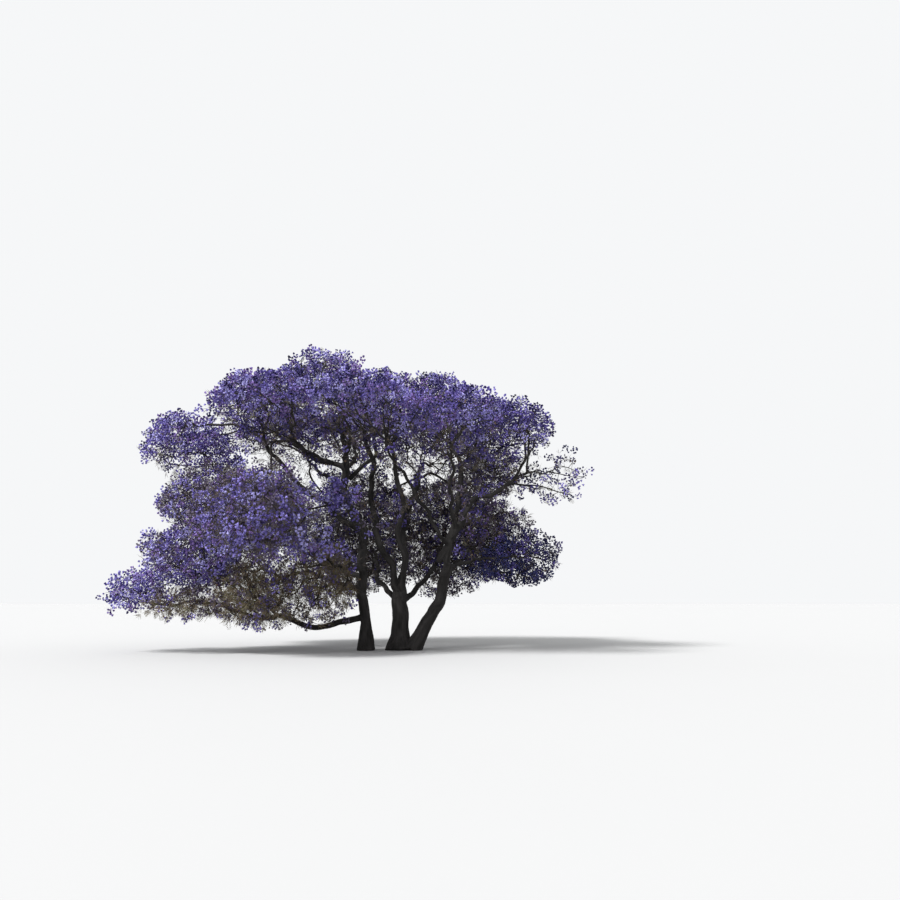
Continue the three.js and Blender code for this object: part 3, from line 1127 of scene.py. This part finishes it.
    def _crook(self, rng: np.random.Generator) -> None:
        """Divides the branchlets into short crooked steps that twigs can grow from.

        Args:
            rng: the source of chance.
        """
        old = self.growth
        fresh = Growth()
        anchors = old.parents < 0
        where = {int(i): n for n, i in enumerate(np.flatnonzero(anchors))}
        fresh.root(old.points[anchors], old.ways[anchors], 0.0 * old.paths[anchors], old.bases[anchors])
        for chain in old.chains(old.tips_above()):
            curve, _ = round_off(old.points[chain], 3)
            wander = rng.normal(0, 0.045, curve.shape)
            wander[::3] *= 0.3
            curve = curve + wander
            at = where[chain[0]]
            for i in range(1, len(curve)):
                owner = slice(chain[math.ceil(i / 3)], chain[math.ceil(i / 3)] + 1)
                way = unit(curve[i] - fresh.points[at])
                fresh.extend(curve[i : i + 1], np.array([at]), way[None], np.zeros(1), old.masses[owner],
                             np.zeros(1), old.lights[owner])
                at = len(fresh.points) - 1
                if i % 3 == 0:
                    where[chain[i // 3]] = at
        self.growth = fresh

    def _thicken(self) -> None:
        """Makes each limb as thick as the twig ends that it carries ask for."""
        growth = self.growth
        counts = growth.tips_above()
        home = np.arange(len(counts))
        for i, parent in enumerate(growth.parents):
            if parent >= 0:
                home[i] = home[parent]
        self.radii = np.full(len(counts), self.tip_radius)
        for i in range(len(counts)):
            root = home[i]
            carried = counts[root]
            if root == i:
                self.radii[i] = growth.bases[i]
                continue
            tip = growth.bases[root] > 0 and self._is_tip(root)
            free = self.tip_radius * carried ** (1 / 2.35)
            most = growth.bases[root] * (0.95 if tip else 0.6)
            base = min(most, free * (1.5 if tip else 1.0))
            power = math.log(max(base / self.tip_radius, 1.05)) / math.log(max(carried, 2))
            self.radii[i] = max(self.tip_radius, self.tip_radius * counts[i] ** power)

    def _is_tip(self, root: int) -> bool:
        """Tells whether a place on a bough is the bough's tip.

        Args:
            root: the node.

        Returns:
            Whether the next node belongs to another bough.
        """
        growth = self.growth
        after = root + 1
        return growth.parents[after] >= 0 or np.linalg.norm(growth.points[after] - growth.points[root]) > 0.5


def habit_of(mass: int) -> Habit:
    """Looks up how a mass is clothed.

    Args:
        mass: its index, or -1 for a shoot outside the masses.

    Returns:
        The habit.
    """
    return HABITS.get(MASSES[mass], RICH) if mass >= 0 else INNER


# ---- tubes ---------------------------------------------------------------------------------------
@dataclass
class Twigwork:
    """The branchlets and twigs as tapering tubes.

    Attributes:
        crown: the limbs.
        thick: radius from which a limb's foot counts it among the branchlets.
    """

    crown: Crown
    thick: float = 0.017

    def build(self) -> list[bpy.types.Object]:
        """Makes the tubes.

        Returns:
            The pieces.
        """
        growth, radii = self.crown.growth, self.crown.radii
        heavy, light = MeshArrays(), MeshArrays()
        for chain in growth.chains(radii):
            widths = radii[chain].copy()
            widths[0] = min(widths[0], widths[1] * 1.15)
            stout = widths[1] > self.thick
            self._tube(heavy if stout else light, growth.points[chain], widths, 3 if stout else 1)
        # The branchlets' near-black bark paints the shade under the crown.
        pieces = [
            heavy.to_object("branchlets", BRANCHLET_PAINTED_SHADE_FINISH, True),
            light.to_object("twigs", TWIG_FINISH, True),
        ]
        for piece, arrays in zip(pieces, (heavy, light)):
            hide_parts(*MASSES)
            LOG.info("%s: %d triangles", piece.name, arrays.faces())
        return pieces

    @staticmethod
    def _tube(arrays: MeshArrays, points: np.ndarray, widths: np.ndarray, parts: int) -> None:
        """Adds one tapering tube that ends in a point.

        Args:
            arrays: what to add to.
            points: along the tube.
            widths: its radius at each point.
            parts: how many pieces each span is divided into.
        """
        curve, spots = round_off(points, parts)
        radii = np.interp(spots, np.arange(len(widths)), widths)
        sides = 3 if radii[0] < 0.012 else 4 if radii[0] < 0.02 else 6 if radii[0] < 0.05 else 8
        ways = unit(np.gradient(curve, axis=0))
        side = np.eye(3)[np.argmin(np.abs(ways.mean(0)))]
        across = unit(np.cross(ways, side))
        other = np.cross(ways, across)
        angles = np.arange(sides) * 2 * math.pi / sides
        cosines, sines = np.cos(angles)[None, :, None], np.sin(angles)[None, :, None]
        rings = curve[:, None] + radii[:, None, None] * (cosines * across[:, None] + sines * other[:, None])
        body = rings[:-1].reshape(-1, 3)
        count = len(curve) - 1
        here = np.arange(sides)
        after = (here + 1) % sides
        lower = (np.arange(count - 1) * sides)[:, None]
        upper = lower + sides
        first = np.stack([lower + here, upper + here, lower + after], axis=-1).reshape(-1, 3)
        second = np.stack([lower + after, upper + here, upper + after], axis=-1).reshape(-1, 3)
        top = (count - 1) * sides
        tip = np.stack([top + here, np.full(sides, count * sides), top + after], axis=-1)
        arrays.add(np.vstack([body, curve[-1]]), np.vstack([first, second, tip]))


# ---- blossom -------------------------------------------------------------------------------------
@dataclass
class Panicle:
    """One loose spray of trumpet flowers round a stalk, pointing along +Z.

    Attributes:
        seed: for its seeded choices.
        flowers: how many it holds.
        length: of the spray.
        width: of the spray at its widest.
        flower_length: of one flower.
        mouth: radius of a flower's mouth.
    """

    seed: int
    flowers: int = 9
    length: float = 0.32
    width: float = 0.15
    flower_length: float = 0.1
    mouth: float = 0.044

    def shape(self) -> tuple[np.ndarray, np.ndarray]:
        """Makes the spray's points and triangles.

        Returns:
            The points and the triangles.
        """
        rng = np.random.default_rng(self.seed)
        arrays = MeshArrays()
        for k in range(self.flowers):
            high = (k + 0.5) / self.flowers
            angle = k * SPIRAL_TURN + rng.uniform(-0.4, 0.4)
            out = np.array([math.cos(angle), math.sin(angle), 0.0])
            reach = self.width * (1.05 - 0.75 * high) * rng.uniform(0.55, 1.0)
            foot = out * reach * 0.6 + UP * (high * self.length - 0.04)
            way = unit(out * rng.uniform(0.6, 1.2) + UP * rng.uniform(-0.5, 0.7))
            self._trumpet(arrays, foot, way, rng.uniform(0.85, 1.15), rng)
        return np.concatenate(arrays.points), np.concatenate(arrays.triangles)

    def _trumpet(self, arrays: MeshArrays, foot: np.ndarray, way: np.ndarray, size: float,
                 rng: np.random.Generator) -> None:
        """Adds one five-lobed flower.

        Args:
            arrays: what to add to.
            foot: where it sits.
            way: where its mouth points.
            size: a factor on its size.
            rng: the source of chance.
        """
        across = unit(np.cross(way, np.array([0.3, 0.2, 1.0])))
        other = np.cross(way, across)
        spin = rng.uniform(0, 2 * math.pi)
        angles = spin + np.arange(5) * 2 * math.pi / 5
        lip = foot + way * self.flower_length * size
        reach = self.mouth * size * rng.uniform(0.8, 1.2, 5)[:, None]
        rim = lip + reach * (np.cos(angles)[:, None] * across + np.sin(angles)[:, None] * other)
        rim -= way * rng.uniform(0.0, 0.02, 5)[:, None]
        fan = np.array([[0, 1 + k, 1 + (k + 1) % 5] for k in range(5)])
        arrays.add(np.vstack([foot, rim]), fan)


@dataclass
class Blossom:
    """All the blossom, dealt out spray by spray in several tints.

    Attributes:
        crown: the twigs that carry it.
        seed: for the seeded choices.
        kinds: how many different sprays there are.
        side_share: share of the places along the twigs that carry a spray too.
    """

    crown: Crown
    seed: int = 21
    kinds: int = 8
    side_share: float = 0.5

    def build(self) -> list[bpy.types.Object]:
        """Places the sprays on the twigs.

        Returns:
            One piece for each tint.
        """
        rng = np.random.default_rng(self.seed)
        growth = self.crown.growth
        shapes = [Panicle(self.seed + k).shape() for k in range(self.kinds)]
        children = growth.children()
        dealt: dict[Tint, list[tuple[int, np.ndarray, np.ndarray, float]]] = {tint: [] for tint in Tint}
        masses: dict[Tint, set[str]] = {tint: set() for tint in Tint}
        for i, point in enumerate(growth.points):
            if growth.parents[i] < 0 or self.crown.radii[i] > 0.02:
                continue
            habit = habit_of(growth.masses[i])
            light = growth.lights[i] if growth.masses[i] >= 0 else 1.0
            share = habit.bloom * light * (self.side_share if children[i] else 1.0)
            if rng.random() > share:
                continue
            tint = self._tint(habit, point, light, rng)
            lean = rng.normal(0, 0.45, 3)
            way = unit(growth.ways[i] + 0.45 * UP + lean)
            size = rng.uniform(0.8, 1.2) * (0.8 if children[i] else 1.0)
            dealt[tint].append((int(rng.integers(self.kinds)), point, way, size))
            if growth.masses[i] >= 0:
                masses[tint].add(MASSES[growth.masses[i]])
        pieces = []
        for tint, sprays in dealt.items():
            arrays = MeshArrays()
            for kind, (points, triangles) in enumerate(shapes):
                chosen = [s for s in sprays if s[0] == kind]
                if chosen:
                    spots, ways, sizes = (np.array([spray[k] for spray in chosen]) for k in (1, 2, 3))
                    stamp(arrays, points, triangles, spots, ways, sizes, rng)
            # The pale piece is painted sunlit blossom, and the deep and indigo pieces are painted shade.
            piece = arrays.to_object("blossom_" + tint.value, BLOSSOM_FINISHES[tint], False)
            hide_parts(*sorted(masses[tint]))
            LOG.info("%s: %d sprays, %d triangles", piece.name, len(sprays), arrays.faces())
            pieces.append(piece)
        return pieces

    @staticmethod
    def _tint(habit: Habit, point: np.ndarray, light: float, rng: np.random.Generator) -> Tint:
        """Chooses a spray's tint, in drifts so that neighbours tend to match, and darker where it gets less
        light, which is painted shade.

        Args:
            habit: of the mass.
            point: where the spray is.
            light: how much light it gets.
            rng: the source of chance.

        Returns:
            The tint.
        """
        tints = list(habit.tints)
        weights = np.array([habit.tints[t] for t in tints], float)
        drift = noise.noise(Vector(point) * 0.8 + Vector((3, 5, 70)))
        slope = np.linspace(1, -1, len(tints))
        # The drift is random tone; the light term pushes sprays with less light towards the dark tints as
        # painted shade.
        weights *= np.exp((1.0 * drift - 1.2 * (1 - light)) * slope)
        return tints[int(rng.choice(len(tints), p=weights / weights.sum()))]


def stamp(arrays: MeshArrays, points: np.ndarray, triangles: np.ndarray, places: np.ndarray, ways: np.ndarray,
          sizes: np.ndarray, rng: np.random.Generator) -> None:
    """Adds many copies of a small shape, each pointing its own way and turned at random about it.

    Args:
        arrays: what to add to.
        points: the shape's points, standing along +Z.
        triangles: the shape's triangles.
        places: where each copy goes.
        ways: where each points.
        sizes: a factor on each one's size.
        rng: the source of chance.
    """
    count = len(places)
    spin = rng.uniform(0, 2 * math.pi, count)
    help_ = np.where(np.abs(ways[:, 2:]) < 0.9, UP, np.array([1.0, 0.0, 0.0]))
    side = unit(np.cross(ways, help_))
    other = np.cross(ways, side)
    across = np.cos(spin)[:, None] * side + np.sin(spin)[:, None] * other
    third = np.cross(ways, across)
    turn = np.stack([across, third, ways], axis=1)
    copies = np.einsum("pk,nkj->npj", points, turn) * sizes[:, None, None] + places[:, None]
    shift = (np.arange(count) * len(points))[:, None, None]
    arrays.add(copies.reshape(-1, 3), (triangles[None] + shift).reshape(-1, 3))


# ---- pods and leaves -----------------------------------------------------------------------------
@dataclass
class Hangings:
    """Tufts of twiglets, old pods and the few leaves that are left.

    Attributes:
        crown: the twigs that carry them.
        seed: for the seeded choices.
        pod_radius: of the flat round pod.
        leaf_length: of a whole feathery leaf.
        pairs: how many pairs of side fronds a leaf has.
        twiglets: how many twiglets a tuft has.
        twiglet_length: of the longest of them.
    """

    crown: Crown
    seed: int = 33
    pod_radius: float = 0.042
    leaf_length: float = 0.34
    pairs: int = 5
    twiglets: int = 5
    twiglet_length: float = 0.36

    def build(self) -> list[bpy.types.Object]:
        """Sets twiglets, pods and leaves on the twigs.

        Returns:
            The pieces.
        """
        rng = np.random.default_rng(self.seed)
        growth = self.crown.growth
        pods: list[tuple[np.ndarray, np.ndarray, float]] = []
        leaves: list[tuple[np.ndarray, np.ndarray, float]] = []
        tufts: list[tuple[np.ndarray, np.ndarray, float]] = []
        dry_tufts: list[tuple[np.ndarray, np.ndarray, float]] = []
        for i, point in enumerate(growth.points):
            if growth.parents[i] < 0:
                continue
            habit = habit_of(growth.masses[i])
            fine = habit.fine + 0.15 * (1 - growth.lights[i])
            for _ in range(int(fine + rng.random())):
                way = unit(growth.ways[i] + rng.normal(0, 0.5, 3))
                (dry_tufts if habit is BROWN else tufts).append((point, way, rng.uniform(0.7, 1.2)))
            for _ in range(2):
                if rng.random() < habit.pods:
                    way = unit(-UP + rng.normal(0, 0.35, 3))
                    pods.append((point + rng.normal(0, 0.03, 3), way, rng.uniform(0.8, 1.15)))
                if rng.random() < habit.leaves:
                    way = unit(growth.ways[i] + rng.normal(0, 0.7, 3) - 0.2 * UP)
                    leaves.append((point, way, rng.uniform(0.7, 1.1)))
        pieces = []
        for name, finish, shape, spots in (
            ("twiglets", TWIGLET_FINISH, self._tuft(), tufts),
            ("dry_twiglets", DRY_TWIGLET_FINISH, self._tuft(), dry_tufts),
            ("seed_pods", POD_FINISH, self._pod(), pods),
            ("old_leaves", LEAF_FINISH, self._leaf(), leaves),
        ):
            arrays = MeshArrays()
            stamp(arrays, *shape, *(np.array([s[k] for s in spots]) for k in range(3)), rng)
            pieces.append(arrays.to_object(name, finish, False))
            LOG.info("%s: %d, %d triangles", name, len(spots), arrays.faces())
        return pieces

    def _tuft(self) -> tuple[np.ndarray, np.ndarray]:
        """Makes a tuft of twiglets, each a slender folded blade.

        Returns:
            Its points and triangles.
        """
        rng = np.random.default_rng(self.seed)
        arrays = MeshArrays()
        for k in range(self.twiglets):
            angle = k * SPIRAL_TURN
            out = np.array([math.cos(angle), math.sin(angle), 0.0])
            way = unit(UP + out * rng.uniform(0.25, 1.1))
            reach = self.twiglet_length * rng.uniform(0.55, 1.0)
            middle = way * 0.45 * reach + out * 0.02
            side = np.cross(way, out) * 0.011
            end = way * reach - out * 0.03 * rng.uniform(-1, 1)
            blade = np.array([0.0 * way, middle - side, end, middle + side])
            arrays.add(blade, np.array([[0, 1, 3], [1, 2, 3]]))
        return np.concatenate(arrays.points), np.concatenate(arrays.triangles)

    def _pod(self) -> tuple[np.ndarray, np.ndarray]:
        """Makes a flat, round, woody pod on a short stalk.

        Returns:
            Its points and triangles.
        """
        angles = np.arange(8) * math.pi / 4
        middle = 1.6 * self.pod_radius
        waves = 1 + 0.08 * np.cos(3 * angles)
        rim = np.stack([self.pod_radius * waves * np.cos(angles), 0.006 * np.cos(2 * angles),
                        middle + self.pod_radius * waves * np.sin(angles)], axis=1)
        faces = np.array([[0.0, 0.011, middle], [0.0, -0.011, middle]])
        here = np.arange(8)
        after = (here + 1) % 8
        near = np.stack([np.full(8, 8), after, here], axis=1)
        far = np.stack([np.full(8, 9), here, after], axis=1)
        return np.vstack([rim, faces]), np.vstack([near, far])

    def _leaf(self) -> tuple[np.ndarray, np.ndarray]:
        """Makes a feathery leaf: pairs of narrow fronds along a drooping midrib.

        Returns:
            Its points and triangles.
        """
        arrays = MeshArrays()
        for k in range(2 * self.pairs):
            share = (k // 2 + 1) / (self.pairs + 0.5)
            side = 1 if k % 2 else -1
            foot = np.array([0, -0.25 * self.leaf_length * share**2, share * self.leaf_length])
            reach = 0.42 * self.leaf_length * math.sin(math.pi * (0.15 + 0.75 * share))
            way = unit(np.array([side, -0.15, 0.55]))
            across = np.array([0.0, 0.0, 0.014])
            middle = foot + way * reach * 0.5
            frond = np.array([foot, middle - across, foot + way * reach, middle + across])
            arrays.add(frond, np.array([[0, 1, 2], [0, 2, 3]] if side > 0 else [[0, 2, 1], [0, 3, 2]]))
        return np.concatenate(arrays.points), np.concatenate(arrays.triangles)


# ---- the whole tree ------------------------------------------------------------------------------
@dataclass
class Jacaranda:
    """The whole tree.

    Attributes:
        systems: for each piece of bark, how the names of its limbs begin.
    """

    systems: dict[str, tuple[str, ...]] = field(default_factory=lambda: {
        "bark_trunk": ("trunk", "bough_centre", "bough_back_low", "bough_back_right"),
        "bark_stem_right": ("stem_right", "bough_right"),
        "bark_stem_left": ("stem_left", "bough_left", "bough_front", "bough_high", "bough_back_left"),
    })

    def build(self) -> list[bpy.types.Object]:
        """Builds the bark and what grows on it.

        Returns:
            The pieces.
        """
        names = sorted(name for name in frame["nodes"] if not name.startswith("mass_"))
        limbs = {name: LimbLine.from_node(name) for name in names}
        pieces = []
        for piece, starts in self.systems.items():
            covered = [limbs[name] for name in names if name.startswith(starts)]
            made = BarkSkin(piece, covered).build()
            LOG.info("%s: %d limbs, %d triangles", piece, len(covered), len(made.data.polygons))
            pieces.append(made)
        crown = Crown([limbs[name] for name in names if name.startswith("bough_")])
        crown.grow()
        LOG.info("crown: %d nodes", len(crown.growth.points))
        for made in Twigwork(crown).build():
            pieces.append(made)
        for made in Blossom(crown).build():
            pieces.append(made)
        for made in Hangings(crown).build():
            pieces.append(made)
        for made in pieces:
            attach(made, BODY)
        return pieces


# ---- studio --------------------------------------------------------------------------------------
@dataclass
class Studio:
    """A pale floor, soft light and the camera.

    Attributes:
        eye: where the camera stands.
        pitch: how far it looks up, in degrees.
        lens: its focal length in millimetres.
        sun_way: direction from which the main light comes.
        sun_strength: of the main light.
        fill: strength of the light from all round.
    """

    eye: tuple[float, float, float] = (2.065, -36.0, 2.04)
    pitch: float = 10.0
    lens: float = 34.0
    sun_way: tuple[float, float, float] = (-0.75, -0.55, 1.0)
    sun_strength: float = 6.0
    fill: float = 0.94

    def build(self) -> None:
        """Sets up the floor, the lights and the camera."""
        bm = bmesh.new()
        bmesh.ops.create_grid(bm, x_segments=1, y_segments=1, size=400.0)
        mesh = bpy.data.meshes.new("floor")
        bm.to_mesh(mesh)
        bm.free()
        floor = link("floor", mesh)
        mesh.materials.append(FLOOR_FINISH.material())
        sun = bpy.data.objects.new("sun", bpy.data.lights.new("sun", "SUN"))
        sun.data.energy = self.sun_strength
        sun.data.angle = math.radians(14)
        sun.rotation_euler = Vector(self.sun_way).to_track_quat("Z", "Y").to_euler()
        bpy.context.scene.collection.objects.link(sun)
        world = bpy.data.worlds.new("studio")
        world.use_nodes = True
        back = world.node_tree.nodes["Background"]
        back.inputs["Color"].default_value = (0.98, 0.99, 1.0, 1.0)
        back.inputs["Strength"].default_value = self.fill
        bpy.context.scene.world = world
        camera = bpy.data.objects.new("camera", bpy.data.cameras.new("camera"))
        camera.data.lens = self.lens
        camera.data.clip_end = 2000.0
        camera.location = self.eye
        camera.rotation_euler = (math.radians(90 + self.pitch), 0.0, 0.0)
        bpy.context.scene.collection.objects.link(camera)
        bpy.context.scene.camera = camera
        bpy.context.scene.view_settings.view_transform = "Standard"


def main() -> None:
    """Builds the tree and the studio, and reports each piece."""
    logging.basicConfig(level=logging.INFO, format="%(message)s")
    noise.seed_set(NOISE_SEED)
    pieces = Jacaranda().build()
    LOG.info("%d pieces, %d triangles", len(pieces), sum(len(p.data.polygons) for p in pieces))
    Studio().build()


if __name__ == "__main__":
    main()
